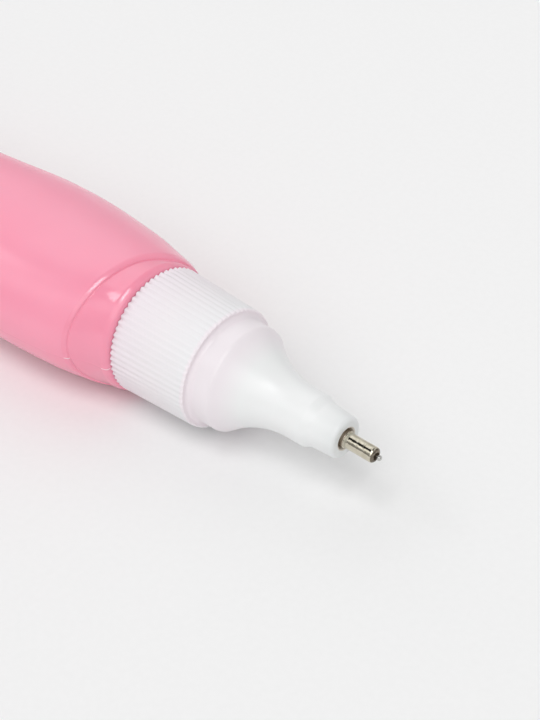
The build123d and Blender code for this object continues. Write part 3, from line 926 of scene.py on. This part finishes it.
# %% Table
FIBRE_MM = 0.8
TABLE_HALF, TABLE_DROP = 2, 2e-5  # in metres
card, tree, place = new_material("matte_white_card")
fibre = add(tree, "TexNoise", {"Vector": place, "Scale": 1 / (FIBRE_MM * MM), "Detail": 2.0})
tone = add(tree, "ValToRGB", {"Fac": fibre.outputs["Fac"]})
tone.color_ramp.elements[0].position, tone.color_ramp.elements[0].color = 0.2, linear("#eeeeee")
tone.color_ramp.elements[1].position, tone.color_ramp.elements[1].color = 0.8, linear("#f0f0f0")
matte = {"Base Color": tone.outputs["Color"], "Roughness": 0.9, "Specular IOR Level": 0.0}
shader = add(tree, "BsdfPrincipled", matte)
add(tree, "OutputMaterial", {"Surface": shader.outputs["BSDF"]})
table_corners = [(x * TABLE_HALF, y * TABLE_HALF, -TABLE_DROP) for x, y in ((-1, -1), (1, -1), (1, 1), (-1, 1))]
table_mesh = bpy.data.meshes.new("table")
table_mesh.from_pydata(table_corners, [], [(0, 1, 2, 3)])
table = bpy.data.objects.new("table", table_mesh)
scene.collection.objects.link(table)
dress(table, card)
table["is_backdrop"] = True
print("table", [round(v, 2) for v in table.dimensions])

# %% [markdown]
# The light is that of a light tent: pale walls all round and a dark ceiling, with a large softbox overhead.
# The world is the tent, with soft round patches in it. Pale panels on all sides shape the gloss,
# dim places low by the camera, on the left and beyond the tip shade the lower edges,
# and two dark gaps over the tail's near side are there for the belly and the metal to mirror.
# The camera itself sees a plain pale backdrop in place of the tent.

# %% Light tent
WALL_LEVEL, CEILING_LEVEL, WALL_TOP, CEILING_START = 0.66, 0.1, 0.7, 0.84
tent_patches = {  # towards, degrees to the inner and the outer edge, level
    "pale panel beyond the tail": ((-0.72, 0.25, 0.65), 12, 36, 1.25),
    "dim low side by the camera": ((0.3, -0.95, 0.0), 20, 50, 0.4),
    "pale panel behind the camera": ((0.44, -0.63, 0.64), 14, 40, 1.25),
    "small pale panel on the left": ((-0.54, -0.6, 0.6), 4, 14, 1.35),
    "dim low corner on the left": ((-0.56, -0.81, 0.17), 8, 24, 0.3),
    "pale panel on the right": ((0.54, 0.54, 0.64), 12, 34, 0.9),
    "dim wall beyond the tip": ((0.956, 0.256, 0.14), 6, 22, 0.12),
    "dark gap at the ceiling's edge": ((-0.575, -0.3, 0.76), 6, 13, 0.1),
    "darker gap in the ceiling": ((-0.455, -0.26, 0.855), 11, 16, 0.03),
}
world = bpy.data.worlds.new("light_tent")
scene.world = world
world.use_nodes = True
tree = world.node_tree
tree.nodes.clear()
direction = add(tree, "TexCoord").outputs["Generated"]
height = add(tree, "SeparateXYZ", {"Vector": direction}).outputs["Z"]
walls = {"From Min": WALL_TOP, "From Max": CEILING_START, "To Min": WALL_LEVEL, "To Max": CEILING_LEVEL}
level = add(tree, "MapRange", {"Value": height, **walls}, interpolation_type="SMOOTHSTEP").outputs["Result"]
for towards, inner, outer, own_level in tent_patches.values():
    facing = add(tree, "VectorMath", {0: direction, 1: Vector(towards).normalized()}, operation="DOT_PRODUCT")
    patch = {
        "Value": facing.outputs["Value"],
        "From Min": math.cos(math.radians(outer)),
        "From Max": math.cos(math.radians(inner)),
        "To Min": level,
        "To Max": own_level,
    }
    level = add(tree, "MapRange", patch, interpolation_type="SMOOTHSTEP").outputs["Result"]
tent = add(tree, "Background", {"Color": (1, 1, 1, 1), "Strength": level})
backdrop = add(tree, "Background", {"Color": linear("#efefef"), "Strength": 1.0})
ray = add(tree, "LightPath").outputs["Is Camera Ray"]
seen = add(tree, "MixShader", {0: ray, 1: tent.outputs["Background"], 2: backdrop.outputs["Background"]})
add(tree, "OutputWorld", {"Surface": seen.outputs["Shader"]})
print("tent with", ", ".join(tent_patches))

# %% [markdown]
# Suns stand for the lamps, because they light the whole table evenly.
# One with a wide angle is the softbox, three narrow ones in a row are its bulbs, which draw the bright lines
# on the shoulder and the band's edge, and a small lamp at the side puts the glint on the band.
# Tent and lamps together light the table at a level of about one, so a colour renders about as it is written.

# %% Lamps
lamps = {  # towards, strength, angle in degrees
    "overhead_softbox": ((0.12, -0.52, 0.85), 0.65, 56),
    "near_bulb_in_the_softbox": ((0.01, -0.43, 0.9), 0.16, 10),
    "middle_bulb_in_the_softbox": ((-0.01, -0.31, 0.95), 0.15, 10),
    "far_bulb_in_the_softbox": ((-0.05, -0.19, 0.98), 0.14, 10),
    "side_lamp": ((-0.7, -0.29, 0.66), 0.18, 12),
}
for name, (towards, strength, angle) in lamps.items():
    light = bpy.data.lights.new(name, "SUN")
    light.energy = strength
    light.angle = math.radians(angle)
    lamp = bpy.data.objects.new(name, light)
    lamp.rotation_mode = "QUATERNION"
    lamp.rotation_quaternion = Vector(towards).to_track_quat("Z", "Y")
    scene.collection.objects.link(lamp)
    print(name, "strength", strength, "angle", angle)

# %% [markdown]
# Last, the boxes of the CAD model and of the dressed pen are written side by side, to see that no piece grew out.

# %% Sizes
visual_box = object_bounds()
for label, box in (("cad box", cad_box), ("visual box", visual_box)):
    print(label, [[round(v / MM, 2) for v in corner] for corner in box])
